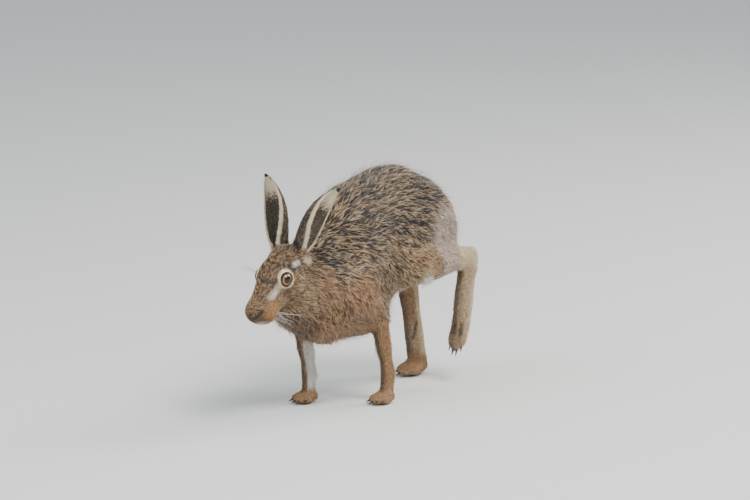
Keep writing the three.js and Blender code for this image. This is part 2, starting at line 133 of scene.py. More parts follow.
GUIDES = [
    # x, y, z, lie x, y, z, length, kind; x above 0 is used on both sides
    (0, -244, 146, 0, 0.83, 0.56, 2.5, "face"), (10, -232, 150, 0.2, 0.83, 0.4, 3, "face"),
    (0, -225, 172, 0, 0.8, 0.6, 4, "face"), (0, -205, 208, 0, 0.85, 0.5, 6, "face"),
    (0, -175, 222, 0, 1, 0.2, 8, "face"), (22, -165, 205, 0.3, 0.9, -0.1, 9, "face"),
    (28, -185, 165, 0.2, 0.9, 0.0, 8, "cheek"), (24, -205, 150, 0.2, 0.85, 0.2, 6, "cheek"),
    (30, -165, 170, 0.1, 0.9, -0.3, 12, "cheek"), (0, -205, 128, 0, 0.9, -0.4, 8, "white"),
    (14, -190, 140, 0.1, 0.9, -0.4, 9, "cheek"), (6, -152, 105, 0, 0.5, -0.9, 18, "dusk"),
    (5, -172, 121, 0, 0.7, -0.7, 13, "dusk"), (36, -125, 202, 0.1, 0.9, -0.4, 16, "back"),
    (48, -98, 186, 0, 0.8, -0.5, 18, "flank"), (49, -66, 220, 0, 0.9, -0.3, 20, "back"),
    (0, -130, 225, 0, 1, 0.4, 16, "back"), (40, -140, 175, 0.1, 0.9, -0.5, 17, "rufous"),
    (36, -130, 120, 0, 0.6, -0.8, 18, "rufous"), (0, -80, 248, 0, 1, 0.5, 22, "back"),
    (0, -20, 283, 0, 1, 0.3, 24, "back"), (0, 50, 298, 0, 1, 0, 25, "back"),
    (0, 105, 292, 0, 0.9, -0.4, 24, "back"), (0, 150, 250, 0, 0.5, -0.9, 20, "back"),
    (0, 172, 195, 0, 0.2, -1, 16, "grey"), (48, -70, 205, 0, 0.9, -0.35, 20, "flank"),
    (34, -60, 245, 0.1, 1, 0.1, 22, "back"), (36, 0, 272, 0.1, 1, -0.1, 24, "back"),
    (40, 60, 280, 0.1, 0.9, -0.2, 24, "back"), (44, 112, 262, 0.1, 0.8, -0.6, 21, "back"),
    (52, 0, 225, 0, 0.9, -0.4, 24, "back"), (56, 50, 240, 0, 0.85, -0.5, 23, "back"),
    (50, -10, 180, 0, 0.85, -0.5, 22, "flank"), (54, 30, 200, 0, 0.8, -0.6, 20, "flank"),
    (48, -20, 140, 0, 0.7, -0.7, 20, "flank"), (62, 85, 221, 0, 0.75, -0.65, 14, "grey"),
    (50, 20, 165, 0, 0.8, -0.5, 16, "flank"), (62, 115, 205, 0, 0.6, -0.8, 15, "grey"),
    (46, 152, 205, 0, 0.3, -1, 13, "grey"), (50, 140, 240, 0, 0.5, -0.9, 17, "grey"),
    (78, 25, 188, 0, 0.8, -0.6, 13, "thigh"), (80, 52, 177, 0, 0.9, -0.5, 12, "thigh"),
    (70, 86, 188, 0, 0.8, -0.6, 13, "grey"), (60, 110, 178, 0, 0.9, -0.4, 11, "grey"),
    (80, 38, 163, 0, 0.9, -0.5, 11, "hind"), (60, 100, 232, 0, 0.7, -0.7, 14, "grey"),
    (58, 0, 212, 0, 0.8, -0.6, 20, "flank"), (53, 66, 252, 0, 0.8, -0.5, 20, "back"),
    (0, -50, 82, 0, 0.9, -0.5, 20, "rufous"), (0, 10, 98, 0, 1, 0.1, 20, "white"),
    (0, 80, 130, 0, 0.9, 0, 16, "white"), (24, 60, 140, 0, 0.9, 0, 14, "white"),
    (54, -90, 165, 0, 0.6, -0.75, 17, "rufous"), (52, -100, 130, 0, 0.4, -0.9, 15, "rufous"),
    (56, -55, 130, 0, 0.5, -0.85, 14, "rufous"), (0, -110, 88, 0, 0.6, -0.8, 17, "rufous"),
    (0, 186, 206, 0, 0.8, -0.5, 14, "black"),
    (0, 208, 170, 0, 0.2, -1, 14, "black"), (0, 188, 160, 0, 0, -1, 12, "white"),
]
LIMB_GUIDES = [
    # the legs differ from side to side
    (46, -22, 95, 0, 0.2, -1, 8, "leg"), (47, -14, 60, 0, 0.1, -1, 6, "leg"),
    (46, -8, 30, 0, 0, -1, 5, "leg"), (46, -32, 10, 0, -0.9, -0.4, 3.5, "leg"),
    (-46, -76, 92, 0, 0.1, -1, 9, "leg"),
    (-42, -72, 60, 0, 0.1, -1, 6, "leg"), (-40, -66, 30, 0, 0, -1, 5, "leg"),
    (-39, -86, 10, 0, -0.9, -0.4, 3.5, "leg"), (-31, -68, 62, 0, 0.1, -1, 8, "white"),
    (58, 30, 150, 0, 0.9, -0.2, 10, "hind"), (54, 90, 148, 0, 1, 0, 8, "hind"),
    (54, 130, 180, 0, 1, -0.2, 8, "hind"), (54, 180, 170, 0, 0.3, -1, 6, "hind"),
    (66, 160, 172, 0, 0.3, -1, 6, "hind"),
    (52, 165, 120, 0, -0.1, -1, 6, "hind"), (62, 160, 100, 0, -0.1, -1, 6, "hind"),
    (52, 145, 60, 0, -0.2, -1, 4.5, "hind"), (52, 148, 100, 0, -0.1, -1, 7, "hind"),
    (36, 80, 142, 0, 1, 0, 11, "white"),
    (-58, 20, 140, 0, 0.9, -0.3, 10, "hind"), (-48, 80, 125, 0, 0.9, -0.3, 9, "hind"),
    (-36, 155, 135, 0, 0.3, -1, 6, "leg"), (-36, 170, 80, 0, 0.1, -1, 6, "leg"),
    (-34, 158, 60, 0, 0.1, -1, 6, "hind"),
    (-34, 150, 12, 0, -0.9, -0.3, 4, "leg"), (-24, 90, 130, 0, 0.9, -0.2, 10, "white"),
]
rows = list(LIMB_GUIDES)
for g in GUIDES:
    rows.append(g)
    if g[0] > 0:
        rows.append((-g[0], g[1], g[2], -g[3], *g[4:]))
G_AT = np.array([g[:3] for g in rows], float)
G_LIE = unit(np.array([g[3:6] for g in rows], float))
G_LENGTH = np.array([g[6] for g in rows], float)
G_KIND = np.zeros((len(rows), len(KINDS)))
for i, g in enumerate(rows):
    G_KIND[i, KIND_NAMES.index(g[7])] = 1


def guided(p):
    """Lie, length and share of each kind of coat at millimetre points."""
    lie = np.zeros((len(p), 3))
    length = np.zeros(len(p))
    kind = np.zeros((len(p), len(KINDS)))
    for start in range(0, len(p), 20000):
        part = slice(start, start + 20000)
        d2 = ((p[part, None, :] - G_AT[None]) ** 2).sum(-1)
        w = 1 / (d2 + 30) ** 2.4
        w /= w.sum(1, keepdims=True)
        lie[part] = w @ G_LIE
        length[part] = w @ G_LENGTH
        kind[part] = w @ G_KIND
    return unit(lie), length, kind


# The last tint is the dark of the whisker pad's stripes and of the streaks on the hind feet, and is also
# used as painted shade on the sides of the legs away from the key light.
TINTS = {
    "cream": (0.86, 0.78, 0.64), "pale": (0.80, 0.75, 0.66), "whitish": (0.92, 0.90, 0.86),
    "amber": (0.70, 0.51, 0.28), "dusk": (0.33, 0.24, 0.16), "rim": (0.05, 0.04, 0.035),
    "lip": (0.78, 0.74, 0.68), "white": (0.95, 0.93, 0.90), "soot_and_shade": (0.16, 0.11, 0.08),
}


def stroke(p, start, end, radius):
    """1 along the middle of a soft straight stroke and 0 outside it."""
    start, end = np.array(start, float), np.array(end, float)
    along = np.clip((p - start) @ (end - start) / ((end - start) @ (end - start)), 0, 1)
    d = np.linalg.norm(p - start - along[:, None] * (end - start), axis=1)
    return np.clip((1 - d / radius) / 0.45, 0, 1)


def marks(p, n):
    """The markings of the face and the legs, by place and by the way the surface faces, with painted shade
    on the sides of the legs away from the key light and on the white inside the left foreleg.
    """
    h = in_head(p)
    h[:, 0] = np.abs(h[:, 0])
    ring = np.linalg.norm(h - EYES["left"], axis=-1)
    stripes = np.sin(h[:, 2] * 2.1 + 0.3 * h[:, 1]) * np.sin(h[:, 1] * 1.7)
    pad = near(h, (19, 43, -16), (15, 18, 15), 0.5)
    fore = np.clip((112 - p[:, 2]) / 10, 0, 1) * np.clip((12 - p[:, 1]) / 10, 0, 1)
    fore *= np.clip((p[:, 2] - 14) / 10, 0, 1) * (np.abs(p[:, 0]) > 20) * (p[:, 1] > -110)
    inner = np.clip((-n[:, 0] * np.sign(p[:, 0]) - 0.30) / 0.25, 0, 1)
    hind = np.clip((p[:, 1] - 118) / 12, 0, 1) * np.clip((192 - p[:, 2]) / 12, 0, 1)
    hind *= np.clip((p[:, 2] - 22) / 12, 0, 1)
    rear = np.clip((n @ np.array([0.45, 0.89, 0]) + 0.05) / 0.45, 0, 1)
    # painted shade: 1 on the side of a leg that faces away from the key light
    front = np.clip((-n @ np.array([0.7, 0.7, 0]) - 0.25) / 0.5, 0, 1)
    lead = np.clip((112 - p[:, 2]) / 16, 0, 1) * np.clip((40 - p[:, 1]) / 10, 0, 1) * (np.abs(p[:, 0]) > 20)
    return [
        ("amber", pad * np.clip(0.85 + 0.1 * stripes, 0, 1)),
        ("soot_and_shade", pad * np.clip(stripes * 2 - 0.6, 0, 1) * 0.8),
        ("pale", stroke(h, (20, 12, 1), (15, 34, -1), 6) * 0.7),
        ("whitish", stroke(h, (17, 24, -2), (15.5, 31, -3), 4) * 0.55),
        ("dusk", near(h, (21, 11, -13), (8, 10, 6.5), 0.5)),
        ("cream", np.clip(1.35 - np.abs(ring - 11.9) / 1.1, 0, 1) * (h[:, 0] > 8)),
        ("whitish", near(h, (22, -23, 5), (9, 6, 5.5), 0.5)),
        ("cream", near(h, (21, -46, -7), (9, 8, 10), 0.5)),
        ("lip", near(h, (6, 59, -24), (10, 10, 8), 0.5)),
        ("whitish", near(h, (0, 42, -36), (14, 20, 8), 0.6)),
        ("rim", np.clip(1.3 - np.maximum(ring - 9.5, 0) / 1.2, 0, 1) * (h[:, 0] > 12)),
        # the white inside the forelegs is their own colour; on the left foreleg it is weaker, as painted
        # shade
        ("white", fore * inner * np.where(p[:, 0] < 0, 1, 0.7)),
        ("cream", hind * rear * 0.95),
        # painted shade: the sides of the hind and fore legs that face away from the key light are darkened
        ("soot_and_shade", (hind + lead * np.clip(p[:, 2] / 20, 0, 1)) * front * 0.62),
        ("soot_and_shade", (stroke(p, (51, 138, 93), (50, 138, 78), 4) + stroke(p, (60, 141, 90), (58, 140, 68), 3.5)
                  + stroke(p, (-25, 158, 74), (-29, 158, 52), 2.8)) * 0.8),
    ]


def coat_colours(p, n, kind, part, vary):
    """Colour at a place along a hair: part runs from the skin (-1) over the root (0) to the tip (1)."""
    stops = np.array([[linear(c) for c in k[:4]] for k in KINDS.values()])
    spread = np.array([k[4] for k in KINDS.values()])
    mixed = np.einsum("nk,ksc->nsc", kind, stops)
    amount = kind @ spread
    t = np.clip(part, 0, 1)
    # the band slides up and down the hair from lock to lock
    edge = np.clip(0.60 - 0.55 * vary * amount
                   - 0.42 * kind[:, BACK] - 0.16 * kind[:, WHITE], 0.05, 1.3)
    to_band = np.clip(t / 0.3, 0, 1)[:, None]
    to_tip = np.clip((t - edge) / 0.2 + 0.5, 0, 1)[:, None]
    colour = mixed[:, 1] * (1 - to_band) + mixed[:, 2] * to_band
    colour = colour * (1 - to_tip) + mixed[:, 3] * to_tip
    colour = np.where((part < 0)[:, None], mixed[:, 0], colour)
    for tint, strength in marks(p, n):
        s = np.clip(strength, 0, 1)[:, None] * (1.0 if tint == "rim" else 0.92)
        tone = linear(TINTS[tint]) * (1 - 0.12 * vary[:, None])
        colour = colour * (1 - s) + tone * s
    return np.clip(colour * (1 + 0.10 * vary[:, None] * (part >= 0)[:, None]), 0.002, 1)


# Meshes and materials


def shade_smooth(mesh):
    mesh.polygons.foreach_set("use_smooth", np.ones(len(mesh.polygons), bool))


def new_object(name, verts, faces, uvs=None, colours=None):
    mesh = bpy.data.meshes.new(name)
    verts = np.asarray(verts, np.float32)
    faces = np.asarray(faces, np.int32)
    mesh.vertices.add(len(verts))
    mesh.vertices.foreach_set("co", verts.ravel())
    mesh.loops.add(faces.size)
    mesh.loops.foreach_set("vertex_index", faces.ravel())
    mesh.polygons.add(len(faces))
    sides = faces.shape[1]
    mesh.polygons.foreach_set("loop_start", np.arange(0, faces.size, sides, dtype=np.int32))
    shade_smooth(mesh)
    mesh.update(calc_edges=True)
    if uvs is not None:
        layer = mesh.uv_layers.new(name="OFBake")
        layer.data.foreach_set("uv", uvs[faces.ravel()].astype(np.float32).ravel())
    if colours is not None:
        set_colours(mesh, colours)
    obj = bpy.data.objects.new(name, mesh)
    bpy.context.scene.collection.objects.link(obj)
    return obj


def set_colours(mesh, colours):
    layer = mesh.color_attributes.new("Tone", "FLOAT_COLOR", "POINT")
    rgba = np.ones((len(colours), 4), np.float32)
    rgba[:, :3] = colours
    layer.data.foreach_set("color", rgba.ravel())


def toned(name, roughness, coat=0.0, bump=0.0, bump_scale=900.0, sheen=0.0, specular=0.4):
    """A material that takes its colour from the mesh."""
    material = bpy.data.materials.new(name)
    material.use_nodes = True
    tree = material.node_tree
    shader = tree.nodes["Principled BSDF"]
    tone = tree.nodes.new("ShaderNodeAttribute")
    tone.attribute_name = "Tone"
    tree.links.new(tone.outputs["Color"], shader.inputs["Base Color"])
    shader.inputs["Roughness"].default_value = roughness
    shader.inputs["Specular IOR Level"].default_value = specular
    shader.inputs["Coat Weight"].default_value = coat
    shader.inputs["Coat Roughness"].default_value = 0.02
    shader.inputs["Sheen Weight"].default_value = sheen
    if bump:
        place = tree.nodes.new("ShaderNodeTexCoord")
        noise = tree.nodes.new("ShaderNodeTexNoise")
        noise.inputs["Scale"].default_value = bump_scale
        noise.inputs["Detail"].default_value = 3
        push = tree.nodes.new("ShaderNodeBump")
        push.inputs["Strength"].default_value = bump
        push.inputs["Distance"].default_value = 0.0008
        tree.links.new(place.outputs["Object"], noise.inputs["Vector"])
        tree.links.new(noise.outputs["Fac"], push.inputs["Height"])
        tree.links.new(push.outputs["Normal"], shader.inputs["Normal"])
    return material


def plain(name, colour, roughness):
    """A material of one colour."""
    material = bpy.data.materials.new(name)
    material.use_nodes = True
    shader = material.node_tree.nodes["Principled BSDF"]
    shader.inputs["Base Color"].default_value = (*colour, 1)
    shader.inputs["Roughness"].default_value = roughness
    return material


def ring_faces(rings, sides, closed=False):
    """Faces between rings of points, each ring with the next, and the last with the first if closed."""
    faces = []
    for i in range(rings):
        i2 = (i + 1) % rings if closed else i + 1
        for j in range(sides):
            j2 = (j + 1) % sides
            faces.append((i * sides + j, i2 * sides + j, i2 * sides + j2, i * sides + j2))
    return faces


def evaluated(obj):
    """The object with its modifiers carried out."""
    graph = bpy.context.evaluated_depsgraph_get()
    mesh = bpy.data.meshes.new_from_object(obj.evaluated_get(graph))
    obj.modifiers.clear()
    obj.data = mesh
    return obj


def arrays(mesh):
    co = np.empty(len(mesh.vertices) * 3, np.float32)
    mesh.vertices.foreach_get("co", co)
    normal = np.empty(len(mesh.vertices) * 3, np.float32)
    mesh.vertices.foreach_get("normal", normal)
    return co.reshape(-1, 3).astype(float), normal.reshape(-1, 3).astype(float)


def triangles(mesh):
    mesh.calc_loop_triangles()
    tri = np.empty(len(mesh.loop_triangles) * 3, np.int32)
    mesh.loop_triangles.foreach_get("vertices", tri)
    return tri.reshape(-1, 3)


def gathered(name, names, grow, voxel, rounds):
    """One fine closed skin over several nodes of the frame."""
    verts = []
    faces = []
    count = 0
    for node in names:
        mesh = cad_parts[node].data
        co, normal = arrays(mesh)
        tri = triangles(mesh)
        world = np.array(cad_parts[node].matrix_world)
        co = co @ world[:3, :3].T + world[:3, 3]
        verts.append(co + unit(normal) * grow)
        faces.append(tri + count)
        count += len(co)
    obj = new_object(name, np.concatenate(verts), np.concatenate(faces))
    remesh = obj.modifiers.new("remesh", "REMESH")
    remesh.mode = "VOXEL"
    remesh.voxel_size = voxel
    soften = obj.modifiers.new("soften", "SMOOTH")
    soften.factor = 0.5
    soften.iterations = rounds
    evaluated(obj)
    shade_smooth(obj.data)
    return obj


# The skin: one surface over the flesh nodes, smoothed, then sunk by a share of the coat's length

SKIN_VOXEL = 0.00195
EAR_VOXEL = 0.0008
SMOOTHING_ROUNDS = 40
skin = gathered("skin", FLESH, 0.0005, SKIN_VOXEL, 3)
co, _ = arrays(skin.data)
p = to_mm(co)
_, length, _ = guided(p)
head_part = np.clip((in_head(p)[:, 1] + 45) / 25, 0, 1)

# It is smoothed most where the coat is long, and least on the head
tri = triangles(skin.data)
links = np.concatenate([tri[:, [0, 1]], tri[:, [1, 2]], tri[:, [2, 0]]])
links = np.concatenate([links, links[:, ::-1]])
degree = np.bincount(links[:, 0], minlength=len(co))[:, None]
ease = np.clip((length - 4.5) / 8, 0.06, 1) * (1 - 0.88 * head_part) * 0.7
for _ in range(SMOOTHING_ROUNDS):
    summed = np.stack([np.bincount(links[:, 0], co[links[:, 1], a], len(co)) for a in range(3)], 1)
    co += (summed / degree - co) * ease[:, None]
skin.data.vertices.foreach_set("co", co.astype(np.float32).ravel())
skin.data.update()
co, normal = arrays(skin.data)
depth = length * 0.30 + 0.2
at_ear = np.min([np.linalg.norm(in_head(p) - foot, axis=1) for foot in EAR_FEET.values()], axis=0)
depth *= np.clip((at_ear - 12) / 16, 0.08, 1)
co -= normal * depth[:, None] * MM
skin.data.vertices.foreach_set("co", co.astype(np.float32).ravel())
skin.data.update()
co, normal = arrays(skin.data)
p = to_mm(co)
_, length, kind = guided(p)
set_colours(skin.data, coat_colours(p, normal, kind, np.full(len(p), -1.0), ripple(p, 9, 3)))
skin.data.materials.append(toned("skin", 0.75, bump=0.5))
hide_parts(*FLESH)
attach(skin, "root")

# Unwrap of the skin by its parts: round each part's own long axis and along it
UV_COLUMNS = 5
UV_LINES = 4
UV_MARGIN = 0.03
PARTS = sorted(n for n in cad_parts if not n.startswith("claw_"))
part_axis = {}
part_tree = KDTree(sum(len(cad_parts[n].data.vertices) for n in PARTS))
owner = []
for number, node in enumerate(PARTS):
    part_co, _ = arrays(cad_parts[node].data)
    middle = part_co.mean(0)
    _, _, axes = np.linalg.svd(part_co - middle, full_matrices=False)
    part_axis[number] = (middle, axes, (part_co - middle) @ axes[0])
    for v in part_co:
        part_tree.insert(Vector(v), len(owner))
        owner.append(number)
part_tree.balance()
owner = np.array(owner)


def unwrap(points):
    which = np.array([owner[part_tree.find(Vector(q))[1]] for q in points])
    uv = np.zeros((len(points), 2))
    for number, (middle, axes, along) in part_axis.items():
        mine = which == number
        if not mine.any():
            continue
        r = points[mine] - middle
        t = (r @ axes[0] - along.min()) / (along.max() - along.min())
        turn = np.arctan2(r @ axes[1], r @ axes[2]) / (2 * math.pi) + 0.5
        line, column = divmod(number, UV_COLUMNS)
        uv[mine, 0] = (column + UV_MARGIN + (1 - 2 * UV_MARGIN) * turn) / UV_COLUMNS
        uv[mine, 1] = (line + UV_MARGIN + (1 - 2 * UV_MARGIN) * np.clip(t, 0, 1)) / UV_LINES
    return uv


uv_points = unwrap(co)
skin_uv = skin.data.uv_layers.new(name="OFBake")
loops = np.empty(len(skin.data.loops), np.int32)
skin.data.loops.foreach_get("vertex_index", loops)
skin_uv.data.foreach_set("uv", uv_points[loops].astype(np.float32).ravel())

# Hair


def roots_on(co, tri, count, chance):
    """Random places on a mesh, more of them where chance is higher."""
    a, b, c = co[tri[:, 0]], co[tri[:, 1]], co[tri[:, 2]]
    cross = np.cross(b - a, c - a)
    weight = np.linalg.norm(cross, axis=1) * chance[tri].mean(1)
    pick = rng.choice(len(tri), count, p=weight / weight.sum())
    u, v = rng.random(count), rng.random(count)
    flip = u + v > 1
    u[flip], v[flip] = 1 - u[flip], 1 - v[flip]
    place = a[pick] + (b - a)[pick] * u[:, None] + (c - a)[pick] * v[:, None]
    return place, unit(cross[pick])


def strands(name, root, normal, lie, length, width, lift, curl, kind, vary, rings, material,
            lock=None, gather=0.0, colour=None):
    """Tapered closed hairs in one mesh, all in millimetres. lock gives each hair the path that its
    lock follows: root, lie, length and lift."""
    n = len(root)
    lie = unit(lie - (lie * normal).sum(1, keepdims=True) * normal)
    side = np.cross(normal, lie)
    ts = np.linspace(0, 1, rings + 1)
    shape = np.array([1.0, 0.95, 0.62])[:rings] if rings > 2 else np.array([1.0, 0.8])
    verts = np.zeros((n, rings * 3 + 1, 3))
    tones = np.zeros((n, rings * 3 + 1, 3))

    def path(t, root, lie, side, length, lift, curl):
        rise = lift * t - 0.55 * lift * t * t
        return root + length[:, None] * (lie * (t - 0.08 * t * t) + normal * rise[:, None]
                                         + side * (curl * t * t)[:, None])

    for r, t in enumerate(ts):
        centre = path(t, root, lie, side, length, lift, curl)
        if lock is not None:
            l_root, l_lie, l_length, l_lift, l_curl = lock
            l_side = np.cross(normal, l_lie)
            target = path(t, l_root, l_lie, l_side, l_length, l_lift, l_curl)
            centre = centre + (target - centre) * gather * t ** 1.2
        tone = coat_colours(root, normal, kind, np.full(n, t), vary) if colour is None else colour(t)
        # painted shade: every hair is darker towards its root, where the coat shades its own depths
        shade = 0.55 + 0.45 * min(1, t / 0.4)
        if r < rings:
            w = (width * shape[r])[:, None]
            verts[:, r * 3] = centre - side * w / 2
            verts[:, r * 3 + 1] = centre + side * w / 2
            verts[:, r * 3 + 2] = centre + normal * w * 0.5
            tones[:, r * 3:r * 3 + 3] = (tone * shade)[:, None]
        else:
            verts[:, -1] = centre
            tones[:, -1] = tone
    # no hair goes through the floor
    verts[:, :, 2] = np.maximum(verts[:, :, 2], FLOOR_CLEAR - SHIFT[2])
    # the triangles of one hair: its foot, its sides and its tip
    one = [(0, 2, 1)]
    for r in range(rings - 1):
        for k in range(3):
            a, b = r * 3 + k, r * 3 + (k + 1) % 3
            one += [(a, b, b + 3), (a, b + 3, a + 3)]
    last = (rings - 1) * 3
    one += [(last + k, last + (k + 1) % 3, rings * 3) for k in range(3)]
    one = np.array(one)
    size = rings * 3 + 1
    faces = (one[None] + (np.arange(n) * size)[:, None, None]).reshape(-1, 3)
    uv = unwrap(to_frame(root))
    patch = np.zeros((size, 2))
    for r in range(rings):
        patch[r * 3:r * 3 + 3, 0] = [-1, 1, 0]
        patch[r * 3:r * 3 + 3, 1] = -1 + 2 * ts[r]
    patch[-1] = (0, 1)
    uvs = (uv[:, None] + patch[None] * PATCH).reshape(-1, 2)
    most = MOST_TRIANGLES // len(one)
    for i, start in enumerate(range(0, n, most)):
        stop = min(n, start + most)
        obj = new_object(f"{name}_{i}", to_frame(verts[start:stop].reshape(-1, 3)),
                         faces[:(stop - start) * len(one)], uvs[start * size:stop * size],
                         tones[start:stop].reshape(-1, 3))
        obj.data.materials.append(material)
        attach(obj, "root")


hair_look = toned("hair", 0.62, sheen=0.15, specular=0.3)
tri = triangles(skin.data)
share = 1.0
h = in_head(p)
# No hair on the eyes, the nose, the nostrils, the cleft of the lip and the soles
BARE_EYE = 11.6
SOLE_HEIGHT = 3
NOSE_AT = np.array([0, 62, -11])
NOSE_SIZE = np.array([4.5, 6, 4])
eye_gap = np.minimum(np.linalg.norm(h - EYES["left"], axis=1), np.linalg.norm(h - EYES["right"], axis=1))
bare = (eye_gap < BARE_EYE) & (np.abs(h[:, 0]) > 12)
bare |= np.linalg.norm((h - NOSE_AT) / NOSE_SIZE, axis=1) < 1
half = np.stack([np.abs(h[:, 0]), h[:, 1], h[:, 2]], 1)
bare |= stroke(half, (3, 66, -11), (13, 55, -6), 2.3) > 0
bare |= stroke(half, (0, 66, -13), (0, 60, -27), 1.8) > 0
bare |= p[:, 2] < SOLE_HEIGHT
hairy = (~bare).astype(float)
short = np.clip((14 - length) / 5, 0, 1)


def coat(name, count, chance, members, spread, width, rings, gather, lift, longer):
    """One layer of the coat. members hairs stand spread apart in each lock and gather at its tip."""
    root, n = roots_on(co, tri, count, chance)
    root = to_mm(root)
    lie, length, kind = guided(root)
    at = in_head(root)
    at_eye = np.linalg.norm(np.abs(at) * [1, 0, 0] + at * [0, 1, 1] - EYES["left"], axis=1)
    length = length * longer * np.clip((at_eye - 10) / 7, 0.35, 1)
    swirl = ripple(root, 60, 21) * 0.30 + rng.normal(0, 0.16, count)
    lie = unit(lie - (lie * n).sum(1, keepdims=True) * n)
    lie = unit(lie + np.cross(n, lie) * swirl[:, None])
    fine = np.clip((14 - length) / 8, 0, 1)
    vary = ripple(root, 8, 5) * 0.6 * (1 - fine) + ripple(root, 4.5, 6) * 0.6 * fine
    wave = np.sin(2 * math.pi * (at[:, 1] + 0.4 * np.abs(at[:, 0]) + 5 * ripple(root, 16, 9)) / 5.5)
    wave *= np.clip((34 - at[:, 1]) / 30, 0.15, 0.85)
    vary += 1.6 * wave * kind[:, FACE]
    vary = np.clip(vary + rng.normal(0, 1, count) * (0.95 - 0.5 * fine), -1.8, 1.8)
    l_lift = lift * rng.uniform(0.75, 1.2, count)
    l_curl = rng.normal(0, 0.24, count)
    if members == 1:
        strands(name, root, n, lie, length * rng.uniform(0.75, 1.2, count),
                width * rng.uniform(0.75, 1.3, count), l_lift, l_curl, kind, vary, rings,
                hair_look)
        return

    def rep(a):
        return np.repeat(a, members, 0)

    total = count * members
    side = np.cross(n, lie)
    across = rng.normal(0, spread, total)[:, None]
    along = rng.normal(0, spread * 1.3, total)[:, None]
    own = rep(root) + rep(side) * across + rep(lie) * along
    lock = (rep(root), rep(lie), rep(length), rep(l_lift), rep(l_curl))
    strands(name, own, rep(n), rep(lie), rep(length) * rng.uniform(0.8, 1.12, total),
            width * rng.uniform(0.7, 1.35, total), rep(l_lift) * rng.uniform(0.7, 1.25, total),
            rep(l_curl) + rng.normal(0, 0.05, total), rep(kind),
            rep(vary) + rng.normal(0, 0.25, total), rings, hair_look, lock, gather)


long_chance = hairy * (1 - short) * np.clip(length / 20, 0.5, 1) ** -0.7
short_chance = hairy * short * np.clip(length / 8, 0.35, 1) ** -1.3
LAYERS = [
    # name, hairs or locks, where, hairs in a lock, their spread, width, rings, gather, lift, longer
    ("under_coat", 7000, long_chance, 1, 0, 1.5, 2, 0, 0.25, 0.7),
    ("coat", 23000, long_chance, 3, 0.5, 0.62, 2, 0.6, 0.34, 1.0),
    ("short_coat", 40000, short_chance, 1, 0, 0.52, 2, 0, 0.42, 1.0),
    ("guard_hair", 5000, long_chance, 1, 0, 0.32, 2, 0, 0.7, 1.35),
]
FRINGE_HAIRS = 1500
EAR_HAIRS = 7500
for name, count, *rest in LAYERS:
    coat(name, int(count * share), *rest)

# Longer soft fringes: inside the forelegs, under the chest and along the lower edge of the thigh
fringe = near(p, (-31, -70, 66), (9, 14, 34), 0.5) + near(p, (31, -18, 70), (9, 14, 30), 0.5) * 0.5
fringe += near(p, (-14, -62, 86), (20, 14, 12), 0.6) + near(p, (78, 40, 160), (12, 20, 7), 0.6)
root, n = roots_on(co, tri, int(FRINGE_HAIRS * share), np.clip(fringe, 0, 1) * hairy)
root = to_mm(root)
hang = unit(np.array([0.35, 0.35, -1.0]) + rng.normal(0, 0.14, root.shape))
fringe_tone = np.tile(linear(TINTS["white"]), (len(root), 1)) * rng.uniform(0.8, 1.0, (len(root), 1))
strands("fringe", root, n, hang, rng.uniform(12, 22, len(root)), rng.uniform(0.4, 0.8, len(root)),
        rng.uniform(0.1, 0.45, len(root)), rng.normal(0, 0.12, len(root)), None, None, 3, hair_look,
        colour=lambda t: fringe_tone)

# Eyes: the radius and its bulge in metres, and where the pupil, the gold and the iris end in degrees

EYE_RADIUS = 0.0099
EYE_BULGE = 0.0006
PUPIL_END = 30
GOLD_START = 33
GOLD_END = 43
IRIS_END = 49
# the rim of the lids in millimetres: half its width, half its height, and how far from the middle
LID_ACROSS = 7.9
LID_UP = 7.5
LID_REACH = 10.4


